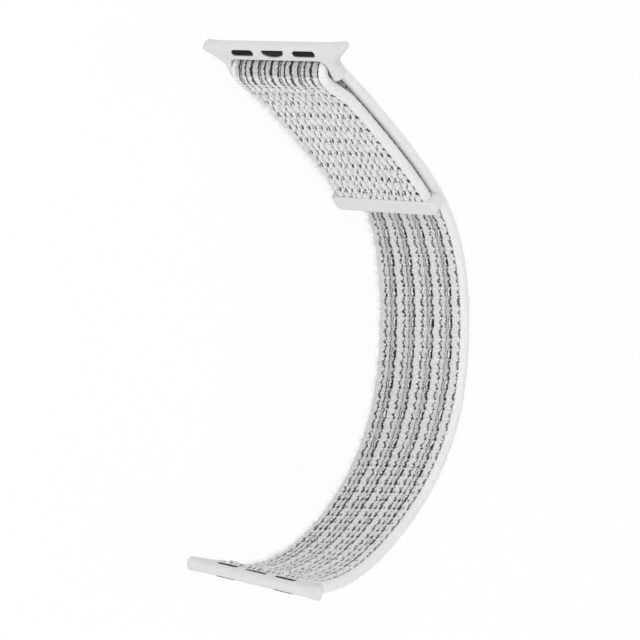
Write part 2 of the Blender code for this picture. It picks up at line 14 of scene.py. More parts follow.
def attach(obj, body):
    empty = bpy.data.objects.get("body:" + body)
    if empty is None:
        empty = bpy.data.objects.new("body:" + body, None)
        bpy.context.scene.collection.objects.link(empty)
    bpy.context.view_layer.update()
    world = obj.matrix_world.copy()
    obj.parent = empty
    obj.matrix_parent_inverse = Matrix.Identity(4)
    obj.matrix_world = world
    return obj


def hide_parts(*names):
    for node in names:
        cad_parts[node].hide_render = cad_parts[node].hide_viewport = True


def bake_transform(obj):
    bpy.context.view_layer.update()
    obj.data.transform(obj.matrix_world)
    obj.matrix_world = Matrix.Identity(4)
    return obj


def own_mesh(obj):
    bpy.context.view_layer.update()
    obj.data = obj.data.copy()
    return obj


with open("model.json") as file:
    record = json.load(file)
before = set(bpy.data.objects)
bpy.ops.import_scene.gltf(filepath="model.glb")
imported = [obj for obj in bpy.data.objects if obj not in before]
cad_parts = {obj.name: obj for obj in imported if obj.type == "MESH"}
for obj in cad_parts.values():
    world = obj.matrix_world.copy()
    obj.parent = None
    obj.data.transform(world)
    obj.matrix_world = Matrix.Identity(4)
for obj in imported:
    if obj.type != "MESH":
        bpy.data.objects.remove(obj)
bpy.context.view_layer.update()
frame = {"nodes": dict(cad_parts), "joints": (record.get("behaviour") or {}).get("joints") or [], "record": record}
scene = bpy.context.scene

MM = 0.001

# The strip, as in the CAD
WIDTH = 22.0
THICKNESS = 2.2
LENGTH = 153.3
HEADINGS = (66.4, 61.1, 48.7, 19.1, -0.6, -34.1, -61.7, -101.2)
TWISTS = (-3.1, 3.1, 0.4, 0.5, 6.4, 1.6)
PATH_SAMPLES = 601
SEAT = 2.0
FOLD = math.pi * SEAT
FLAP_LENGTH = 45.0
FLAP_END_TWIST = -4.5
FLAP_END_RISE = 0.6
FLAP_EASE = 10.0
FLAP_LEAN_EASE = 8.0
SLEEVE_RADIUS = 1.6
SLEEVE_EASE = 6.0
# the sleeve stops a little short of a quarter turn
SLEEVE_WRAP_SHARE = 0.97
SLEEVE_WRAP = SLEEVE_RADIUS * math.pi / 2 * SLEEVE_WRAP_SHARE
UPPER_FLEX_AT = 60.0
LOWER_FLEX_AT = 107.0
FLEX_REACH = 6.0
PEEL_REACH = 4.0
SPLIT_AT = 84.5
UPPER_TURN = math.radians(-22.5)

# Grids of the woven strip: steps along it, columns over the inner and outer face, and columns round a side
RUN_STEP = 0.22
FLAP_STEP = 0.18
RUN_COLUMNS = (100, 44)
FLAP_COLUMNS = (44, 112)
SIDE_COLUMNS = 7
# share of the bake picture's height that is kept for an end cap
CAP_BAND = 0.01

# Hook tape
PAD_START = 28.4
PAD_LENGTH = 13.0
PAD_WIDTH = 18.0
PAD_BOND = 0.05
TAPE_BASE = 0.16
HOOK_PITCH = 0.75
HOOK_RADIUS = 0.05
HOOK_SIDES = 4
HOOK_ROOT_SHARE = 0.8
TAPE_STEPS = 27
# each point of a hook: how far it leans, how far it stands off and how it has turned
HOOK_SHAPE = ((0.0, 0.0, 0.0), (0.0, 0.12, 0.0), (0.05, 0.21, 0.7), (0.14, 0.24, 1.5), (0.21, 0.19, 2.2))

# Camera, as fitted to the photograph, in the strip's own frame
CAMERA_AZIMUTH = math.radians(38.28)
CAMERA_ELEVATION = math.radians(5.06)
CAMERA_ROLL = math.radians(6.17)
CAMERA_DISTANCE = 435.1
CAMERA_FOCAL_PIXELS = 2222.6
PHOTO_PIXELS = 640
SENSOR = 36.0
AIM_ALONG = 49.06
AIM_ACROSS = 17.6

# Loose fibres. One in four is on the upper edge, and those of the lower edge are longer
FIBRE_SHORT = 0.25
FIBRE_LONG = 1.1
FIBRE_HALF = 0.03
FIBRE_LIFT = 0.02
FIBRE_EDGES = (-1, -1, -1, 1)
LOWER_EDGE_GROWTH = 1.4
# how far round the strip's side they start, in radians from its middle, on the lower edge and on the upper
LOWER_ROUND = (0.5, 1.45)
UPPER_ROUND = (-1.2, 1.2)
# the most that they lean and curl, along the strip and off its face, for each millimetre of length
FIBRE_LEAN = (0.9, 0.5)
FIBRE_CURL = (1.2, 0.6)
# where they start and end along the strip, clear of the lugs and the end tab
RUN_FIBRES = (8.0, LENGTH - 6)
FLAP_FIBRES = (-FOLD - FLAP_LENGTH + 4, -11.0)
FIBRE_RINGS = 4
FIBRE_SIDES = 3

# Weave
REPEAT = 4.7
FIRST_LINE = -8.92
SECOND_AT = 1.24
THIRD_AT = 2.62
LENS_AT = 2.60
KNOT_PITCH = 2.22
EDGE_RIB_PITCH = 0.52
LENS_START = 1.39
DASH_START = -1.44
SELVEDGE_AT = 9.95
SELVEDGE_BLUR = 0.12
HOLES_AT = 9.62
SIDE_ROUNDING = 0.95
SKEW_PLACES = (8, 45, 60, 80, 132, 153)
ROW_SKEWS = (0, 0.15, 0.14, 0.13, 0.145, 0.06)
# the inner face's marks grow bolder over the first stretch and fade over the second
BOLDER_OVER = (95, 118)
FADING_OVER = (118, 145)
FADED_SHARE = 0.40
# where the outer face's dashes give way to streaks and come back, round the fold
FOLD_START = (-7.9, -7.5)
FOLD_END = (-1.0, -1.4)
# each column of dashes: its place across a repeat and its weight
DASH_COLUMNS = ((0.0, 0.9), (1.5, 0.8), (2.97, 1.0))
STRONG_SLOPE = 0.26
WEAK_SLOPE = 0.22

# Yarn
YARN_ALBEDO = 0.93
YARN_TINT = (1.0, 1.0, 0.985)
DARKEST_TONE = 0.93

# Floor, world and lamps, in metres
FLOOR_REACH = 1.5
FLOOR_GLOW = 0.93
WORLD_LEVEL = 0.42
LAMP_AIM = (0, 0, 0.01)
# each lamp's name, place, width and power in watts
LAMPS = (
    ("key", (-0.25, -0.55, 0.75), 0.6, 3.2),
    ("front", (0.35, -0.8, 0.25), 0.7, 2.0),
    ("back", (0.1, 0.5, 0.6), 0.6, 1.7),
    ("side", (0.8, -0.3, 0.3), 0.6, 1.6),
    ("left", (-0.8, -0.1, 0.3), 0.6, 1.2),
)


# The strip's path

def natural_spline(values, shares):
    """A natural cubic spline through values at even stations from 0 to 1."""
    values = np.asarray(values, float)
    count = len(values)
    system = np.eye(count)
    right = np.zeros(count)
    for i in range(1, count - 1):
        system[i, i - 1 : i + 2] = (1, 4, 1)
        right[i] = 6 * (values[i - 1] - 2 * values[i] + values[i + 1])
    bends = np.linalg.solve(system, right)
    place = np.clip(shares, 0, 1) * (count - 1)
    i = np.clip(place.astype(int), 0, count - 2)
    b = place - i
    a = 1 - b
    curve = ((a**3 - a) * bends[i] + (b**3 - b) * bends[i + 1]) / 6
    return a * values[i] + b * values[i + 1] + curve


def run_path():
    """The run's middle line: shares of its length, places and headings."""
    shares = np.linspace(0, 1, PATH_SAMPLES)
    headings = np.radians(natural_spline(HEADINGS, shares))
    step = LENGTH / (PATH_SAMPLES - 1)
    dx = np.cos(headings)
    dy = np.sin(headings)
    x = np.concatenate([[0], np.cumsum((dx[1:] + dx[:-1]) / 2)]) * step
    y = np.concatenate([[0], np.cumsum((dy[1:] + dy[:-1]) / 2)]) * step
    return shares, x, y, headings


SHARES, PATH_X, PATH_Y, PATH_HEADINGS = run_path()


def run_twist(s):
    """How far the run has twisted about its own line at length s, in radians."""
    return np.radians(natural_spline(TWISTS, s / LENGTH))


def run_frames(s, twist):
    """Centres, tangents, laterals and normals along the run. Normals point to the hollow side."""
    share = s / LENGTH
    heading = np.interp(share, SHARES, PATH_HEADINGS)
    centre = np.stack([np.interp(share, SHARES, PATH_X), np.interp(share, SHARES, PATH_Y), 0 * s], -1)
    tangent = np.stack([np.cos(heading), np.sin(heading), 0 * s], -1)
    inward = np.stack([np.sin(heading), -np.cos(heading), 0 * s], -1)
    up = np.array([0.0, 0.0, 1.0])
    cos, sin = np.cos(twist)[:, None], np.sin(twist)[:, None]
    return centre, tangent, up * cos + inward * sin, inward * cos - up * sin


def flap_frames(s):
    """The flap over the run's length s. Normals point away from the run."""
    first = run_twist(np.zeros(1))[0]
    twist = first + (math.radians(FLAP_END_TWIST) - first) * s / FLAP_LENGTH
    lean = WIDTH / 2 * np.abs(np.sin(run_twist(s) - twist))
    at_bar = 2 * SEAT - THICKNESS
    share = np.minimum(s / FLAP_EASE, 1)
    rise = THICKNESS + lean + at_bar + (FLAP_END_RISE - at_bar) * share * share * (3 - 2 * share)
    # near the bar the flap leaves along the fold's own leaning normal
    near = np.clip(1 - s / FLAP_LEAN_EASE, 0, 1)
    under, _, _, plain = run_frames(s, 0 * s)
    _, _, _, leaning = run_frames(s, run_twist(s))
    rising = plain + (leaning - plain) * (near * near * (3 - 2 * near))[:, None]
    _, tangent, lateral, normal = run_frames(s, twist)
    return under + rising * rise[:, None], tangent, lateral, normal


def turn_frames(w):
    """The half turn round the upper bar, w from its start on the run. Normals point away from the bar."""
    start, tangent, lateral, normal = (a[0] for a in run_frames(np.zeros(1), run_twist(np.zeros(1))))
    bar = start + normal * SEAT
    angle = (w / SEAT)[:, None]
    away = -normal * np.cos(angle) - tangent * np.sin(angle)
    travel = normal * np.sin(angle) - tangent * np.cos(angle)
    return bar + away * SEAT, travel, lateral + 0 * away, away


def sleeve_frames(w):
    """The end of the sleeve, w round it from the lower bar."""
    centre, tangent, lateral, normal = run_frames(LENGTH + 0 * w, run_twist(LENGTH + 0 * w))
    reach = SLEEVE_RADIUS * np.sin(w / SLEEVE_RADIUS)
    return centre + tangent * reach[:, None], tangent, lateral, normal


def half_thickness(v):
    """Half of the strip's thickness, which grows into the sleeve round the lower bar."""
    half = THICKNESS / 2
    share = np.clip((v - LENGTH + SLEEVE_EASE) / SLEEVE_EASE, 0, 1)
    grown = half + (SLEEVE_RADIUS - half) * share * share * (3 - 2 * share)
    return grown * np.cos(np.clip(v - LENGTH, 0, SLEEVE_WRAP) / SLEEVE_RADIUS)


def strip_frames(v):
    """Centres, laterals and inner-face normals along the whole strip, from the flap's end to the sleeve.

    Each is given at v, which is 0 where the fold meets the run and below 0 on the fold and the flap.
    """
    v = np.asarray(v, float)
    centre = np.zeros((len(v), 3))
    lateral = np.zeros((len(v), 3))
    normal = np.zeros((len(v), 3))
    parts = (
        (v < -FOLD, lambda w: flap_frames(-w - FOLD), -1),
        ((v >= -FOLD) & (v < 0), lambda w: turn_frames(-w), -1),
        ((v >= 0) & (v <= LENGTH), lambda w: run_frames(w, run_twist(w)), 1),
        (v > LENGTH, lambda w: sleeve_frames(w - LENGTH), 1),
    )
    for chosen, make, sign in parts:
        if chosen.any():
            c, _, lat, nor = make(v[chosen])
            centre[chosen], lateral[chosen], normal[chosen] = c, lat, sign * nor
    return centre, lateral, normal


def root_matrix():
    """The strip's own frame in the world, from the upper lug's place in both."""
    centre, tangent, lateral, normal = (a[0] for a in run_frames(np.zeros(1), run_twist(np.zeros(1))))
    bar = centre + normal * SEAT
    tip = -tangent * math.cos(UPPER_TURN) + normal * math.sin(UPPER_TURN)
    inner = normal * math.cos(UPPER_TURN) + tangent * math.sin(UPPER_TURN)
    local = np.stack([tip, inner, np.cross(tip, inner)], 1)
    joints = {joint["name"]: joint for joint in frame["joints"]}
    mounts = {mount["name"]: mount for mount in frame["record"]["mounts"]}
    x_axis = np.array(mounts["upper_rail_nose"]["axis"])
    z_axis = np.array(joints["upper_lug_turn"]["axis"])
    z_axis = z_axis * math.copysign(1, z_axis[2] * np.cross(tip, inner)[2])
    y_axis = np.cross(z_axis, x_axis)
    world = np.stack([x_axis, y_axis, z_axis], 1)
    turn = world @ local.T
    place = np.array(joints["upper_lug_turn"]["pos_m"]) / MM - turn @ bar
    return turn, place


TURN, PLACE = root_matrix()


def to_world(points):
    """Metres in the world from millimetres in the strip's own frame."""
    return (points @ TURN.T + PLACE) * MM


# Numbers over a surface, as plain arrays or as shader nodes

class Field:
    """A number over a surface, held by a shader socket, with ordinary arithmetic."""

    tree = None

    def __init__(self, socket):
        self.socket = socket

    def __add__(self, other):
        return maths("ADD", self, other)

    __radd__ = __add__

    def __mul__(self, other):
        return maths("MULTIPLY", self, other)

    __rmul__ = __mul__

    def __sub__(self, other):
        return maths("SUBTRACT", self, other)

    def __rsub__(self, other):
        return maths("SUBTRACT", other, self)

    def __truediv__(self, other):
        return maths("DIVIDE", self, other)


def plug(value, socket):
    """Gives a shader socket a number, or a field's link."""
    if isinstance(value, Field):
        Field.tree.links.new(value.socket, socket)
    else:
        socket.default_value = value


def maths(operation, *values):
    """A field from one operation on fields and numbers."""
    node = Field.tree.nodes.new("ShaderNodeMath")
    node.operation = operation
    for value, socket in zip(values, node.inputs):
        plug(value, socket)
    return Field(node.outputs[0])


def is_field(*values):
    return any(isinstance(value, Field) for value in values)


def sine(a):
    return maths("SINE", a) if is_field(a) else np.sin(a)


def whole(a):
    return maths("FLOOR", a) if is_field(a) else np.floor(a)


def fraction(a):
    return maths("FRACT", a) if is_field(a) else a - np.floor(a)


def size(a):
    return maths("ABSOLUTE", a) if is_field(a) else np.abs(a)


def least(a, b):
    return maths("MINIMUM", a, b) if is_field(a, b) else np.minimum(a, b)


def most(a, b):
    return maths("MAXIMUM", a, b) if is_field(a, b) else np.maximum(a, b)


def below(a, b):
    """1 where a is less than b."""
    return maths("LESS_THAN", a, b) if is_field(a, b) else (a < b) * 1.0


def ramp(a, low, high):
    """0 below low and 1 above high, eased between, or the other way round if low is above high."""
    if is_field(a, low, high):
        node = Field.tree.nodes.new("ShaderNodeMapRange")
        node.interpolation_type = "SMOOTHSTEP"
        plug(a, node.inputs[0])
        plug(low, node.inputs[1])
        plug(high, node.inputs[2])
        return Field(node.outputs[0])
    t = np.clip((a - low) / (high - low), 0, 1)
    return t * t * (3 - 2 * t)


def line(distance, half, soft):
    """1 on a line of this half width, with soft edges."""
    return ramp(size(distance), half + soft, half - soft)


def chance(a, b, seed):
    """An even spread of values from 0 to 1 over whole numbers a and b."""
    h = fraction(a * 0.6180340 + b * 0.7548777 + seed)
    return fraction(h * (h + 23.7) * 31.3)


# The weave

# u runs across and v along the strip, in millimetres. Tone is 0 for white and 1 for black. The plain numbers in the
# two faces are places, widths and weights, set by comparing renders with the photograph.

# Dark tones stand partly for dark yarn and partly for painted shade in the holes and gaps between yarns, and the
# palest marks are partly painted highlights on the yarn.
def repeats(u):
    """The place across a repeat, from -1 to 3.7, and the repeat's number."""
    across = (u - (FIRST_LINE - 1)) / REPEAT
    number = whole(across)
    return (across - number) * REPEAT - 1, number


def inside(u):
    """1 on the patterned middle and 0 on the selvedges."""
    return ramp(size(u), SELVEDGE_AT + SELVEDGE_BLUR, SELVEDGE_AT - SELVEDGE_BLUR)


def dot(dx, dy, radius):
    """A round spot with a soft rim."""
    away = dx * dx + dy * dy
    return ramp(away, radius * radius * 1.5, radius * radius * 0.5)


def thirds(number):
    """The remainder of a whole number by three."""
    return number - whole(number / 3 + 0.01) * 3


def strand(x, centre, below_knot, reach):
    """A pale strand that crosses a dark line at a knot, from upper left to lower right."""
    return ramp(size(x - centre - 0.9 * below_knot), 0.26, 0.12) * ramp(size(below_knot), reach, reach * 0.6)


def foot_spot(x, centre, up, width, tall):
    """A dark spot with a flat foot at a knot, up from it, narrowing upwards to the right."""
    share = up / tall
    half = width * (1 - 0.75 * share)
    across = ramp(size(x - centre - 0.10 * share), half + 0.08, half - 0.08)
    return across * ramp(up, -0.02, 0.10) * ramp(up, tall, tall * 0.6)


def ribbed_face(u, v):
    """The inner face: broken dark lines and lens holes between pale ribs. Returns tone and height."""
    x, k = repeats(u)
    r = (v - LENS_START) / KNOT_PITCH
    j = whole(r)
    t = r - j
    up = (1 - t) * KNOT_PITCH
    from_knot = (r - whole(r + 0.5)) * KNOT_PITCH
    kind = thirds(j)
    lens_row = below(kind, 0.5)
    beaded = below(1.5, kind)
    wavy = 1 - lens_row - beaded
    luck = chance(j, k, 0.13)
    other = chance(j, k, 0.57)
    third_luck = chance(j, k, 0.91)
    bow = t * (1 - t) * 4
    beads = ramp(sine(t * (2 * math.pi * 3.5) + luck * 5), -0.7, 0.5)
    lower = ramp(v, *BOLDER_OVER)

    # the first line: a zigzag, bowed to the left in every third row
    at_first = 0.27 * sine(t * 8.2 + 0.3 + luck * 1.2) * (1 - wavy) + (0.20 - 0.46 * bow) * wavy
    dark_first = line(x - at_first, 0.18 + 0.06 * luck, 0.10) * (0.60 + 0.34 * other) * (0.62 + 0.38 * beads)
    # a pale curl right of the first line, a painted highlight, strongest in the lens rows
    curl_first = line(x - at_first - 0.40, 0.15, 0.08) * ramp(bow, 0.15, 0.7) * (0.35 + 0.65 * lens_row)

    at_second = SECOND_AT + 0.10 * sine(t * 6.3 + other * 3)
    dark_second = line(x - at_second, 0.13, 0.09) * (0.35 + 0.65 * beads) * (0.32 + 0.60 * third_luck)

    at_third = THIRD_AT - (0.44 * wavy + 0.20 * beaded) * bow + 0.18 * beaded * sine(t * 9.4)
    dark_third = line(x - at_third, 0.22 + 0.05 * luck, 0.10) * (0.70 + 0.26 * luck) * (0.62 + 0.38 * beads)

    # a lens hole, painted dark as the shade in it, its pale arc, a painted highlight on the yarn, and the thin line
    # beside the arc, a painted shadow
    wide = 0.55 + 0.45 * luck
    left = LENS_AT - 0.36 * bow
    right = left + (0.20 + 0.46 * bow) * wide
    hole = ramp(x, left - 0.06, left + 0.06) * ramp(x, right + 0.06, right - 0.06) * ramp(bow, 0.02, 0.2)
    arc = line(x - left + 0.21, 0.15, 0.07)
    beside = line(x - left + 0.50, 0.11, 0.08) * ramp(bow, 0.0, 0.4)
    dark_lens = most(hole * 0.97, beside * (0.55 + 0.30 * other) * (1 - arc))

    # dark feet over the knots, each with its strength
    first_foot = foot_spot(x, -0.02, up, 0.25 + 0.06 * luck + 0.05 * lower, 0.80 + 0.65 * lower)
    third_foot = foot_spot(x, 2.42, up, 0.30 + 0.06 * other + 0.04 * lower, 0.90 + 0.60 * lower)
    second_foot = foot_spot(x, 1.18, up, 0.17 + 0.12 * lower, 0.60 + 0.5 * lower)
    last_foot = foot_spot(x, 3.45, up, 0.20, 0.80)
    feet = most(first_foot * (0.78 + 0.20 * third_luck), third_foot * (0.85 + 0.12 * luck))
    feet = most(feet, second_foot * least(0.30 + 0.60 * other + 0.35 * lower, 0.97))
    feet = most(feet, last_foot * 0.85 * lower * ramp(luck, 0.2, 0.5))
    across = most(strand(x, 0.24, t * KNOT_PITCH, 0.62), strand(x, 2.68, t * KNOT_PITCH, 0.72))

    first_ground = ramp(x, 0.0, 0.2) * ramp(x, 1.3, 1.05)
    second_ground = ramp(x, 1.1, 1.35) * ramp(x, 2.5, 2.2)
    mottle = sine(v * 5.9 + k * 2.1 + 1.2 * sine(v * 1.7 + x * 2)) * 0.5 + 0.5
    leaning = sine((x + v * 0.35) * (2 * math.pi / 0.62)) * 0.5 + 0.5
    rib = ramp(x, 2.8, 3.1) + ramp(x, -0.25, -0.5)
    ground = 0.095 + 0.07 * mottle * rib + 0.05 * first_ground - 0.02 * lower
    ground = ground + 0.12 * second_ground * (1 - 0.7 * lower)
    ground = ground + 0.10 * leaning * (first_ground + second_ground) * (1 - 0.5 * lower)
    dark_rest = (1 - lens_row) * dark_third + lens_row * dark_lens
    dark = most(most(dark_first, dark_second), dark_rest) * (1 - 0.15 * lower)
    dark = most(dark * (1 - across * 0.9), feet)
    tone = ground + (1 - ground) * dark
    # pale: white strands of yarn across the knots, with the lens arcs and curls as painted highlights
    pale = most(lens_row * arc * ramp(bow, 0.0, 0.25), most(across, curl_first)) * (1 - feet)
    # near the lower lug the ribs hide more of the gaps
    tone = tone * (1 - pale * 0.95) * (1 - FADED_SHARE * ramp(v, *FADING_OVER))

    pinch = ramp(size(from_knot), 0.0, 0.5)
    height = 0.20 * rib + 0.10 * first_ground + 0.05 * second_ground + 0.03 * pinch
    height = height - 0.10 * dark_first - 0.05 * dark_second - 0.15 * dark_rest - 0.10 * feet
    height = height + 0.10 * pale
    return tone * inside(u), height * inside(u)


def dashed_face(u, v):
    """The outer face: rows of short leaning dashes, drawn out into streaks where it stretches round the fold."""
    x, k = repeats(u)
    rows = (v - DASH_START) / (2 * KNOT_PITCH)
    j = whole(rows + 0.5)
    strong_at = (rows - j) * 2 * KNOT_PITCH
    i = whole(rows)
    weak_at = (rows - i - 0.5) * 2 * KNOT_PITCH
    fold = ramp(v, *FOLD_START) * ramp(v, *FOLD_END)
    upper_fold = ramp(v, -5.1, -4.8)
    dark = 0 * x
    loops = 0 * x
    pale = 0 * x
    streaks = 0 * x
    pips = 0 * x
    for number, (place, weight) in enumerate(DASH_COLUMNS):
        luck = chance(j, k * 3 + number, 0.31)
        other = chance(i, k * 3 + number, 0.77)
        more = chance(j + i, k * 3 + number, 0.19)
        at_strong = x - place - STRONG_SLOPE * strong_at - 0.20 * (more - 0.5)
        at_weak = x - place - WEAK_SLOPE * weak_at - 0.5 * (more - 0.3)
        # each strong dash is a hole between loops, painted dark as the shade in it
        dash = line(at_strong, 0.20 + 0.09 * luck, 0.08)
        dash = dash * ramp(size(strong_at - 0.05), 0.75 + 0.2 * more, 0.45 + 0.2 * more)
        second = line(at_strong + 0.66, 0.12, 0.07) * ramp(size(strong_at + 0.2), 0.6, 0.35)
        second = second * ramp(more, 0.45, 0.7)
        between = at_weak + 0.25 - 0.7 * other
        off_between = size(size(weak_at) - KNOT_PITCH * 0.5)
        thin = line(between, 0.09, 0.08) * ramp(off_between, 0.6, 0.3) * 0.38
        faint = line(at_weak, 0.17, 0.08) * ramp(size(weak_at), 0.35 + 0.5 * other, 0.15 + 0.4 * other)
        dark = most(dark, dash * weight * (0.84 + 0.16 * luck))
        dark = most(dark, most(most(second * 0.8, thin), faint * ramp(other, 0.05, 0.6) * 0.85))
        for at, off, tall in ((at_strong, strong_at, 0.80), (at_weak, weak_at, 0.90)):
            for shift in (0.0, REPEAT):
                beside = at - 0.56 + shift
                away = beside * beside / 0.24 + off * off / (tall * tall * 1.7)
                loops = most(loops, ramp(away, 1.4, 0.5))
        # a painted highlight on the yarn right of each strong dash
        highlight_crescent = line(at_strong - 0.40, 0.15, 0.08) * ramp(size(strong_at), 0.85, 0.5)
        pale = most(pale, highlight_crescent)
        wide = 0.31 if number == 2 else 0.19
        ragged = 0.04 * sine(v * 9 + number * 2 + k)
        streaks = most(streaks, line(x - place - ragged, wide, 0.09) * (0.74 + 0.24 * weight * luck))
        pips = most(pips, dot(x - place - 0.1, v + 7.2, 0.26) * 0.9)
    doubled = line(x - 0.50, 0.12, 0.08) * 0.8
    streaks = most(streaks, doubled) * (0.80 + 0.20 * upper_fold) * ramp(size(v + 4.95), -0.15, 0.22)
    streaks = streaks * ramp(v, -6.75, -6.5)
    strokes = ramp(sine((x - 0.30 * v) * (2 * math.pi / 0.52) + 2 * sine(v * 2.8 + k)), 0.1, 1.0)
    ground = 0.115 - 0.085 * loops + 0.10 * strokes
    # round the fold the ground is greyer, most on its upper part: partly darker yarn and partly painted shadow near
    # the lug's window edge
    ground = ground * (1 - fold) + fold * (0.13 + 0.13 * upper_fold + 0.04 * sine(v * 11 + k))
    dark = dark * (1 - fold) + most(streaks, pips) * fold
    tone = ground + (1 - ground) * dark
    pale = pale * (1 - fold)
    tone = tone * (1 - pale * 0.95 * (1 - dark))

    # large holes where the pattern meets the selvedges, painted dark as the shade in them, a quarter as dark on the
    # left
    rim = size(u) - HOLES_AT
    on_right = below(0.0, u)
    holes = dot(rim - 0.1 * strong_at, strong_at, 0.42) * 0.97 + dot(rim, weak_at, 0.24) * 0.8
    holes = holes * (0.25 + 0.75 * on_right)
    tone = most(tone * inside(u), holes * (1 - 0.7 * fold))
    height = 0.06 * pale + 0.12 * loops * (1 - fold) - 0.12 * dark * (1 - fold) - 0.10 * streaks * fold
    return tone, height * inside(u) - 0.12 * holes


def border(u, v):
    """Height of the white edges, which stand a little proud and bulge between the knots."""
    edge = 1 - inside(u)
    side = ramp(size(u), 10.5, 11.3)
    bulge = sine(v * (2 * math.pi / KNOT_PITCH)) * 0.5 + 0.5
    return edge * (0.06 * (1 - side) + 0.11 * side * bulge)


def edge_ribs(u, v):
    """The fine cross ribs on the white edges, from 0 to 1."""
    ribs = sine(v * (2 * math.pi / EDGE_RIB_PITCH)) * 0.5 + 0.5
    return ribs * (1 - inside(u))


# Meshes

def add_object(name, data):
    """Puts a mesh, lamp or camera into the scene."""
    made = bpy.data.objects.new(name, data)
    scene.collection.objects.link(made)
    return made


def half_section(face_count):
    """Half of the strip's outline, from the middle of one side over a face to the other.

    Gives each point's place across, its rise, its outward direction and its distance along the outline.
    """
    half = THICKNESS / 2
    flat = WIDTH / 2 - SIDE_ROUNDING
    arc = SIDE_ROUNDING * math.pi / 2
    straight = half - SIDE_ROUNDING
    reach = flat + arc + straight
    side = np.linspace(flat, reach, SIDE_COLUMNS + 1)[1:]
    along = np.concatenate([-side[::-1], np.linspace(-flat, flat, face_count), side])
    over = np.clip(np.abs(along) - flat, 0, arc) / SIDE_ROUNDING
    beyond = np.clip(np.abs(along) - flat - arc, 0, None)
    sign = np.sign(along)
    across = np.clip(along, -flat, flat) + sign * SIDE_ROUNDING * np.sin(over)
    rise = half - SIDE_ROUNDING * (1 - np.cos(over)) - beyond
    outward = np.stack([sign * np.sin(over), np.cos(over)], -1)
    return across, rise, outward, along


def skewed(u, v):
    """The pattern's own length at a place. Its rows lean a little across the strip."""
    return v + np.interp(v, SKEW_PLACES, ROW_SKEWS) * u


def relief(face, along, v):
    """Height of the weave on a grid of v by along."""
    u = np.broadcast_to(along, (len(v), len(along)))
    w = skewed(u, np.broadcast_to(v[:, None], u.shape))
    return face(u, w)[1] + border(u, w)


def strip_points(v, inner, outer):
    """The strip's surface: for each v, the points round its outline, with the weave as relief."""
    centre, lateral, normal = strip_frames(v)
    thicker = (half_thickness(v) / (THICKNESS / 2))[:, None]
    grids = []
    for (across, rise, outward, along), sign, face in ((inner, 1, ribbed_face), (outer, -1, dashed_face)):
        height = relief(face, along, v) * np.minimum(thicker, 1)
        place_across = across + outward[:, 0] * height
        place_rise = sign * (rise * thicker + outward[:, 1] * height)
        grid = (
            centre[:, None, :]
            + lateral[:, None, :] * place_across[..., None]
            + normal[:, None, :] * place_rise[..., None]
        )
        grids.append(grid if sign > 0 else grid[:, ::-1])
    # the two halves share their end columns, at the middle of each side
    return np.concatenate([grids[0], grids[1][:, 1:-1]], 1)


def strip_maps(v, inner, outer, row, column, columns):
    """Pattern and bake coordinates for the corners of the quads at these rows and columns."""
    seam = len(inner[0]) - 1
    along = np.concatenate([inner[3], outer[3][::-1][1:]])
    corner_column = np.stack([column, column + 1, column + 1, column], -1).reshape(-1)
    corner_row = np.stack([row, row, row + 1, row + 1], -1).reshape(-1)
    first_outer = np.repeat(column.reshape(-1) >= seam, 4) & (corner_column == seam)
    corner_along = np.where(first_outer, outer[3][-1], along[corner_column])
    weave = np.stack([corner_along, skewed(corner_along, v[corner_row])], -1)
    bake = np.stack([corner_column / columns, CAP_BAND + (1 - CAP_BAND) * corner_row / (len(v) - 1)], -1)
    return weave, bake


def cap_maps(corners):
    """The same for the corners of an end cap, whose bake coordinates lie below the quads' in a narrow band."""
    turn = np.linspace(0, 2 * math.pi, corners, endpoint=False)
    ring = np.stack([0.25 + 0.2 * np.cos(turn), CAP_BAND * (0.5 + 0.4 * np.sin(turn))], -1)
    return np.zeros((corners, 2)), ring


def woven_strip(name, start, end, step, columns_over, cap=None):
    """A length of the woven strip, from start to end along v.

    A cap closes it at its "start" or its "end". The other ends are open, where another length goes on.
    """
    rows = round((end - start) / step) + 1
    v = np.linspace(start, end, rows)
    inner, outer = (half_section(count) for count in columns_over)
    points = strip_points(v, inner, outer)
    columns = points.shape[1]
    row, column = np.meshgrid(np.arange(rows - 1), np.arange(columns), indexing="ij")
    after = (column + 1) % columns
    quads = np.stack(
        [row * columns + column, row * columns + after, (row + 1) * columns + after, (row + 1) * columns + column], -1
    )
    faces = quads.reshape(-1, 4).tolist()
    maps = strip_maps(v, inner, outer, row, column, columns)
    if cap:
        first = 0 if cap == "start" else (rows - 1) * columns
        ring = [first + i for i in range(columns)]
        faces.append(ring[::-1] if cap == "start" else ring)
        maps = [np.concatenate(pair) for pair in zip(maps, cap_maps(columns))]
    mesh = bpy.data.meshes.new(name)
    mesh.from_pydata(to_world(points.reshape(-1, 3)).tolist(), [], faces)
    mesh.shade_smooth()
    for title, values in zip(("weave", "OFBake"), maps):
        layer = mesh.uv_layers.new(name=title)
        layer.data.foreach_set("uv", values.astype(np.float32).reshape(-1))
    mesh.materials.append(weave_material("woven_inner_face", ribbed_face))
    mesh.materials.append(weave_material("woven_outer_face", dashed_face))
    slots = np.zeros(len(faces), np.int32)
    slots[: column.size] = column.reshape(-1) >= len(inner[0]) - 1
    mesh.polygons.foreach_set("material_index", slots)
    mesh.update()
    return add_object(name, mesh)


# Materials

def new_material(name):
    """A material and its surface shader. Fields made after this call belong to it."""
    made = bpy.data.materials.new(name)
    made.use_nodes = True
    Field.tree = made.node_tree
    return made, made.node_tree.nodes["Principled BSDF"]


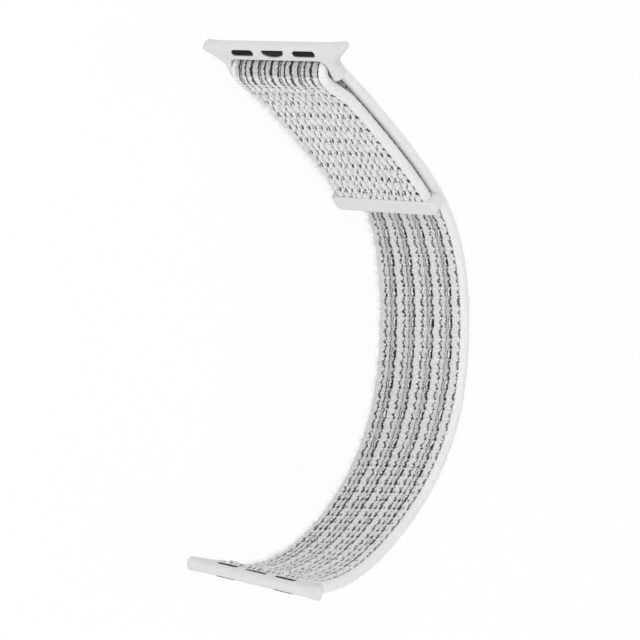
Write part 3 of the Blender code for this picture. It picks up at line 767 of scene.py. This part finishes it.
def noise(scale, detail=2.0, vector=None, dimensions="3D"):
    """A soft random field, over the piece's own place unless another is given."""
    node = Field.tree.nodes.new("ShaderNodeTexNoise")
    node.noise_dimensions = dimensions
    node.inputs["Scale"].default_value = scale
    node.inputs["Detail"].default_value = detail
    if vector is None:
        place = Field.tree.nodes.new("ShaderNodeTexCoord")
        vector = place.outputs["Object"]
    Field.tree.links.new(vector, node.inputs["Vector"])
    return Field(node.outputs["Fac"])


def tint(shader, share, first, second):
    """Colours a shader between two colours."""
    node = Field.tree.nodes.new("ShaderNodeMix")
    node.data_type = "RGBA"
    node.clamp_factor = True
    plug(share, node.inputs[0])
    node.inputs[6].default_value = (*first, 1)
    node.inputs[7].default_value = (*second, 1)
    Field.tree.links.new(node.outputs[2], shader.inputs["Base Color"])


def bump(height, distance, shader):
    """Lets a height, times a distance in metres, tilt the shading."""
    node = Field.tree.nodes.new("ShaderNodeBump")
    node.inputs["Distance"].default_value = distance
    plug(height, node.inputs["Height"])
    Field.tree.links.new(node.outputs["Normal"], shader.inputs["Normal"])


def weave_material(name, face):
    """Yarn in the tones and heights of one face's pattern, unsettled by noise."""
    made = bpy.data.materials.get(name)
    if made:
        return made
    made, shader = new_material(name)
    tree = Field.tree
    layer = tree.nodes.new("ShaderNodeUVMap")
    layer.uv_map = "weave"
    split = tree.nodes.new("ShaderNodeSeparateXYZ")
    tree.links.new(layer.outputs["UV"], split.inputs[0])
    u, v = Field(split.outputs[0]), Field(split.outputs[1])

    def drift(scale):
        """Noise about 0 over the pattern's own coordinates."""
        return noise(scale, 2.0, layer.outputs["UV"], "2D") - 0.5

    wander, jitter, fine, knots = (drift(scale) for scale in (0.9, 2.6, 7.0, 1.6))
    moved_u = u + wander * 0.30 + jitter * 0.40 + fine * 0.15
    moved_v = v + knots * 0.50 + jitter * 0.40
    tone, height = face(moved_u, moved_v)
    edge = 1 - inside(u)
    ribs = edge_ribs(u + jitter * 0.3, v + u * 0.25 + jitter * 0.12)
    fibres = sine((u + v * 0.42) * (2 * math.pi / 0.21) + wander * 14)
    weight = inside(u) * 0.75 + 0.25
    tone = tone * 0.95 + (fine * 0.20 + jitter * 0.16 + fibres * 0.018) * weight + (edge - ribs) * 0.05
    light = 1 - least(most(tone, 0.0), DARKEST_TONE)
    albedo = light * light * YARN_ALBEDO
    mix = tree.nodes.new("ShaderNodeCombineXYZ")
    for share, socket in zip(YARN_TINT, mix.inputs):
        plug(albedo * share, socket)
    tree.links.new(mix.outputs[0], shader.inputs["Base Color"])
    plug(0.85 + fine * 0.2, shader.inputs["Roughness"])
    shader.inputs["Sheen Weight"].default_value = 0.12
    shader.inputs["Sheen Roughness"].default_value = 0.5
    surface = height * 0.55 + ribs * 0.045 + fibres * 0.010 + fine * (0.05 + 0.06 * edge)
    bump(surface, MM, shader)
    return made


def moulded_material(name, dark, light):
    """Satin white plastic with a fine eggshell grain."""
    made, shader = new_material(name)
    cloud = noise(900.0, 2.0)
    grain = noise(14000.0, 1.0)
    tint(shader, cloud, dark, light)
    plug(0.42 + (cloud - 0.5) * 0.12, shader.inputs["Roughness"])
    bump(grain, 0.004 * MM, shader)
    return made


def metal_material(name, dark, light, roughness):
    """Metal with a cloudy colour and a fine grain."""
    made, shader = new_material(name)
    cloud = noise(2500.0, 3.0)
    fine = noise(16000.0, 2.0)
    tint(shader, cloud, dark, light)
    shader.inputs["Metallic"].default_value = 1.0
    plug(roughness + (fine - 0.5) * 0.2, shader.inputs["Roughness"])
    bump(fine, 0.003 * MM, shader)
    return made


def elastomer_material():
    """Nearly black matt elastomer."""
    made, shader = new_material("black_elastomer_skin")
    cloud = noise(1500.0, 2.0)
    grain = noise(9000.0, 2.0)
    tint(shader, cloud, (0.006, 0.006, 0.007), (0.014, 0.014, 0.014))
    shader.inputs["Specular IOR Level"].default_value = 0.12
    plug(0.70 + (grain - 0.5) * 0.3, shader.inputs["Roughness"])
    bump(grain, 0.01 * MM, shader)
    return made


# The woven strip

run_upper = woven_strip("woven_run_upper", 0.0, SPLIT_AT, RUN_STEP, RUN_COLUMNS)
run_lower = woven_strip("woven_run_lower", SPLIT_AT, LENGTH + SLEEVE_WRAP, RUN_STEP, RUN_COLUMNS, "end")
flap = woven_strip("woven_flap", -FOLD - FLAP_LENGTH, 0.0, FLAP_STEP, FLAP_COLUMNS, "start")


def place_at(v):
    """The world place of the strip's middle line at v."""
    centre, _, _ = strip_frames(np.array([v]))
    return Vector(to_world(centre)[0])


def blend_run_upper(piece):
    """Bakes the piece's place into its mesh; the strip's places either side of the upper flex hinge are worked out
    but not used.
    """
    place_at(UPPER_FLEX_AT - FLEX_REACH)
    place_at(UPPER_FLEX_AT + FLEX_REACH)
    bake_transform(piece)


def blend_run_lower(piece):
    """Bakes the piece's place into its mesh; the strip's places either side of the lower flex hinge are worked out
    but not used.
    """
    place_at(LOWER_FLEX_AT - FLEX_REACH)
    place_at(LOWER_FLEX_AT + FLEX_REACH)
    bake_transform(piece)


def blend_flap(piece):
    """Bakes the piece's place into its mesh; the strip's places at the fold and just past it are worked out but not
    used.
    """
    place_at(-FOLD)
    place_at(-FOLD - PEEL_REACH)
    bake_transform(piece)


blend_run_upper(run_upper)
blend_run_lower(run_lower)
blend_flap(flap)
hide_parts("strap_upper_run", "strap_middle_run")
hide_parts("strap_lower_run")
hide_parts("strap_flap")


# Hook tape

def hook_tape():
    """The hook tape under the flap: a thin base with rows of small hooks that lean by turns."""
    points = []
    faces = []

    def add(grid):
        """Adds a tube with closed ends, from rings of points."""
        rings, count = grid.shape[:2]
        first = sum(len(p) for p in points)
        points.append(grid.reshape(-1, 3))
        for i in range(rings - 1):
            for n in range(count):
                a = first + i * count + n
                b = first + i * count + (n + 1) % count
                faces.append((a, b, b + count, a + count))
        faces.append(tuple(first + n for n in reversed(range(count))))
        faces.append(tuple(first + (rings - 1) * count + n for n in range(count)))

    s = np.linspace(PAD_START, PAD_START + PAD_LENGTH, TAPE_STEPS)
    centre, _, lateral, normal = flap_frames(s)
    top = THICKNESS / 2 + PAD_BOND
    half = PAD_WIDTH / 2
    corners = ((-half, top), (half, top), (half, top + TAPE_BASE), (-half, top + TAPE_BASE))
    ring = [centre + lateral * a - normal * b for a, b in corners]
    add(np.stack(ring, 1))
    rows = round(PAD_LENGTH / HOOK_PITCH)
    columns = round(PAD_WIDTH / HOOK_PITCH)
    angles = np.arange(HOOK_SIDES) * 2 * math.pi / HOOK_SIDES
    for i in range(rows):
        row = np.array([PAD_START + (i + 0.5) * PAD_LENGTH / rows])
        centre, tangent, lateral, normal = (a[0] for a in flap_frames(row))
        lean = 1 if i % 2 else -1
        for n in range(columns):
            across = -half + (n + 0.5) * PAD_WIDTH / columns
            foot = centre + lateral * across - normal * (top + TAPE_BASE * HOOK_ROOT_SHARE)
            rings = []
            for reach, drop, turn in HOOK_SHAPE:
                along = tangent * math.cos(turn) + normal * math.sin(turn)
                middle = foot + tangent * (lean * reach) - normal * drop
                off = lateral * np.sin(angles)[:, None] + along * lean * np.cos(angles)[:, None]
                rings.append(middle + off * HOOK_RADIUS)
            add(np.stack(rings))
    mesh = bpy.data.meshes.new("hook_tape_patch")
    mesh.from_pydata(to_world(np.concatenate(points)).tolist(), [], faces)
    made = add_object("hook_tape_patch", mesh)
    material, shader = new_material("hook_tape_nylon")
    cloud = noise(1800.0, 3.0)
    grain = noise(12000.0, 2.0)
    tint(shader, cloud, (0.62, 0.62, 0.60), (0.74, 0.74, 0.72))
    plug(0.35 + grain * 0.2, shader.inputs["Roughness"])
    bump(grain, 0.01 * MM, shader)
    mesh.materials.append(material)
    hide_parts("hook_pad")
    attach(made, "flap")


hook_tape()


# Loose fibres

def edge_fibres(name, start, end, count, seed):
    """Fine loose fibres that stand off the strip's edges, from start to end along v."""
    spread = np.random.default_rng(seed)
    v = spread.uniform(start, end, count)
    sign = spread.choice(FIBRE_EDGES, count)
    centre, lateral, normal = strip_frames(v)
    tangent = np.cross(lateral, normal)
    laid = sign < 0
    laid_over = spread.choice((-1, 1), count) * spread.uniform(*LOWER_ROUND, count)
    over = np.where(laid, laid_over, spread.uniform(*UPPER_ROUND, count))
    across = sign * (WIDTH / 2 - SIDE_ROUNDING * (1 - np.cos(over)) + FIBRE_LIFT)
    rise = np.sin(over) * THICKNESS / 2
    foot = centre + lateral * across[:, None] + normal * rise[:, None]
    out = lateral * (sign * np.cos(over))[:, None] + normal * np.sin(over)[:, None]

    def sideways(along_reach, normal_reach):
        """A random direction for each fibre, along the strip and off its face."""
        along = spread.uniform(-along_reach, along_reach, count)[:, None]
        off = spread.uniform(-normal_reach, normal_reach, count)[:, None]
        return tangent * along + normal * off

    lean = sideways(*FIBRE_LEAN)
    curl = sideways(*FIBRE_CURL)
    length = (spread.uniform(FIBRE_SHORT, FIBRE_LONG, count) * np.where(laid, LOWER_EDGE_GROWTH, 1))[:, None]
    rows = []
    for share in np.linspace(0, 1, FIBRE_RINGS):
        middle = foot + length * (out * share + lean * share * 0.6 + curl * share * share * 0.5)
        half = FIBRE_HALF * (1.05 - share)
        for turn in range(FIBRE_SIDES):
            angle = turn * 2 * math.pi / FIBRE_SIDES
            rows.append(middle + (tangent * math.cos(angle) + normal * math.sin(angle)) * half)
    points = np.stack(rows, 1)
    faces = []
    for ring in range(FIBRE_RINGS - 1):
        for turn in range(FIBRE_SIDES):
            a = ring * FIBRE_SIDES + turn
            b = ring * FIBRE_SIDES + (turn + 1) % FIBRE_SIDES
            faces.append((a, b, b + FIBRE_SIDES, a + FIBRE_SIDES))
    firsts = np.arange(count) * FIBRE_RINGS * FIBRE_SIDES
    faces = (np.array(faces)[None] + firsts[:, None, None]).reshape(-1, 4)
    points = to_world(points.reshape(-1, 3))
    # fibres of the lower edge lie along the surface that the strip stands on
    points[:, 2] = np.maximum(points[:, 2], FIBRE_HALF * MM)
    mesh = bpy.data.meshes.new(name)
    mesh.from_pydata(points.tolist(), [], faces.tolist())
    mesh.shade_smooth()
    mesh.materials.append(fibre_material())
    made = add_object(name, mesh)
    return made


def fibre_material():
    """Pale yarn for the loose fibres, made once."""
    made = bpy.data.materials.get("loose_fibre")
    if made:
        return made
    made, shader = new_material("loose_fibre")
    shader.inputs["Base Color"].default_value = (0.90, 0.90, 0.88, 1)
    shader.inputs["Roughness"].default_value = 0.6
    shader.inputs["Sheen Weight"].default_value = 0.2
    return made


upper_fibres = edge_fibres("edge_fibres_upper", RUN_FIBRES[0], SPLIT_AT, 2600, 11)
lower_fibres = edge_fibres("edge_fibres_lower", SPLIT_AT, RUN_FIBRES[1], 2200, 12)
flap_fibres = edge_fibres("edge_fibres_flap", *FLAP_FIBRES, 1700, 13)
blend_run_upper(upper_fibres)
blend_run_lower(lower_fibres)
blend_flap(flap_fibres)


# Materials of the solids that stay

# the same white plastic in two brightnesses: a darker copy for the lug frames, painted shade, and a lighter copy for
# the end tab, painted light
shaded_frame_white = moulded_material("moulded_white", (0.65, 0.65, 0.64), (0.69, 0.69, 0.68))
lit_tab_white = moulded_material("moulded_tab_white", (0.69, 0.69, 0.68), (0.73, 0.73, 0.72))
steel = metal_material("pin_steel", (0.50, 0.50, 0.51), (0.62, 0.62, 0.63), 0.3)
spring = metal_material("leaf_steel", (0.44, 0.44, 0.46), (0.58, 0.58, 0.60), 0.35)
dark_metal = metal_material("latch_dark_metal", (0.016, 0.015, 0.012), (0.040, 0.038, 0.030), 0.5)
black = elastomer_material()
for name, node in frame["nodes"].items():
    if name == "end_tab":
        chosen = lit_tab_white
    elif name.endswith("_frame"):
        chosen = shaded_frame_white
    elif name.endswith("_bar"):
        chosen = steel
    elif name.endswith("_spring"):
        chosen = spring
    elif "bumper" in name:
        chosen = black
    elif "latch" in name or "plate" in name:
        chosen = dark_metal
    else:
        continue
    node.data.materials.clear()
    node.data.materials.append(chosen)


def pressed_leaf(lug):
    """The latch's leaf spring, made again as a piece of its own on the lug's body, in place of the imported one."""
    joint = next(j for j in frame["joints"] if j["name"] == f"{lug}_latch_press")
    node = frame["nodes"][f"{lug}_lug_latch_spring"]
    mesh = node.data.copy()
    mesh.transform(node.matrix_world)
    mesh.materials.clear()
    mesh.materials.append(spring)
    made = add_object(f"{lug}_pressed_leaf", mesh)
    heights = [v.co.dot(Vector(joint["axis"])) for v in mesh.vertices]
    depth = max(heights) - min(heights)
    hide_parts(node.name)
    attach(made, f"{lug}_lug")
    1 - joint["range_m"][1] / depth
    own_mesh(made)


bpy.context.view_layer.update()
pressed_leaf("upper")
pressed_leaf("lower")


# Floor, light and camera

def directly_seen():
    """1 for rays from the camera, off a mirror or through glass, and 0 for other rays."""
    rays = Field.tree.nodes.new("ShaderNodeLightPath")
    seen = most(Field(rays.outputs["Is Camera Ray"]), Field(rays.outputs["Is Glossy Ray"]))
    return most(seen, Field(rays.outputs["Is Transmission Ray"]))


def pale_floor():
    """A floor that takes shadows and otherwise glows white where it is seen."""
    mesh = bpy.data.meshes.new("floor")
    corners = [(x * FLOOR_REACH, y * FLOOR_REACH, 0) for x, y in ((-1, -1), (1, -1), (1, 1), (-1, 1))]
    mesh.from_pydata(corners, [], [(0, 1, 2, 3)])
    made = add_object("floor", mesh)
    material, shader = new_material("pale_floor")
    tree = Field.tree
    shader.inputs["Base Color"].default_value = (0.9, 0.9, 0.9, 1)
    shader.inputs["Roughness"].default_value = 0.9
    glow = tree.nodes.new("ShaderNodeEmission")
    glow.inputs["Strength"].default_value = 1.0
    blend = tree.nodes.new("ShaderNodeMixShader")
    plug(directly_seen() * FLOOR_GLOW, blend.inputs[0])
    tree.links.new(shader.outputs[0], blend.inputs[1])
    tree.links.new(glow.outputs[0], blend.inputs[2])
    tree.links.new(blend.outputs[0], tree.nodes["Material Output"].inputs["Surface"])
    mesh.materials.append(material)


def studio_world():
    """A white world that lights the part at less than the level at which it is seen."""
    world = bpy.data.worlds.new("studio")
    scene.world = world
    world.use_nodes = True
    tree = world.node_tree
    Field.tree = tree
    background = tree.nodes["Background"]
    background.inputs["Color"].default_value = (1, 1, 1, 1)
    plug(directly_seen() * (1 - WORLD_LEVEL) + WORLD_LEVEL, background.inputs["Strength"])


def soft_lamp(name, place, width, power):
    """A square lamp that looks at the part."""
    lamp = bpy.data.lights.new(name, "AREA")
    lamp.shape = "SQUARE"
    lamp.size = width
    lamp.energy = power
    made = add_object(name, lamp)
    made.location = place
    made.rotation_mode = "QUATERNION"
    made.rotation_quaternion = (Vector(LAMP_AIM) - Vector(place)).to_track_quat("-Z", "Y")


def photo_camera():
    """The camera that was fitted to the photograph, set in the world."""
    a, e, r = CAMERA_AZIMUTH, CAMERA_ELEVATION, CAMERA_ROLL
    back = np.array([math.sin(a) * math.cos(e), -math.cos(a) * math.cos(e), math.sin(e)])
    right = np.cross(-back, (0, 0, 1))
    right /= np.linalg.norm(right)
    up = np.cross(right, -back)
    right, up = right * math.cos(r) + up * math.sin(r), up * math.cos(r) - right * math.sin(r)
    # the fit's axes are lateral, across and back along the strip
    axes = np.array([[0, 0, -1], [0, 1, 0], [1, 0, 0]])
    place = axes @ (back * CAMERA_DISTANCE) + (AIM_ALONG, AIM_ACROSS, 0)
    columns = [TURN @ axes @ d for d in (right, up, back)]
    camera = bpy.data.cameras.new("camera")
    camera.sensor_width = SENSOR
    camera.lens = CAMERA_FOCAL_PIXELS * SENSOR / PHOTO_PIXELS
    camera.clip_start = 0.02
    camera.clip_end = 20
    made = add_object("camera", camera)
    matrix = Matrix(np.stack(columns, 1).tolist()).to_4x4()
    matrix.translation = to_world(place[None])[0]
    made.matrix_world = matrix
    scene.camera = made


pale_floor()
studio_world()
for lamp in LAMPS:
    soft_lamp(*lamp)
photo_camera()

scene.view_settings.view_transform = "Standard"
